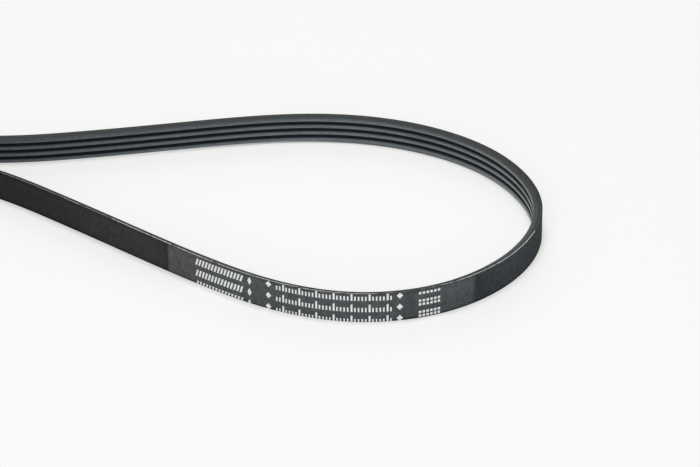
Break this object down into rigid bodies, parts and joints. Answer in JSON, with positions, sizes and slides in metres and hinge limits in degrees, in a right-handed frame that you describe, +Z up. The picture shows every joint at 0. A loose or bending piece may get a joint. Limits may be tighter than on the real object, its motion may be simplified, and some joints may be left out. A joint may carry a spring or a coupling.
{
  "type": "serpentine belt",
  "caption": "Endless ribbed serpentine belt for a car engine, standing on its cut edge in a loose peanut-shaped loop, ribs inside and woven back outside.",
  "frame": {"origin": "centre of the bounding box at its base, on the surface that the belt stands on", "axes": "+Z up along the belt's width, +X along the loop's length towards the end of its large lobe, +Y away from the viewer"},
  "size_m": [0.4424, 0.2312, 0.0142],
  "materials": {
    "belt_rubber": "matt dark blue-grey rubber with dark grooves between paler rib tips, and a finely woven dark grey back"
  },
  "bodies": {
    "root": {"ribbed_belt": "belt_rubber"}
  },
  "joints": []
}
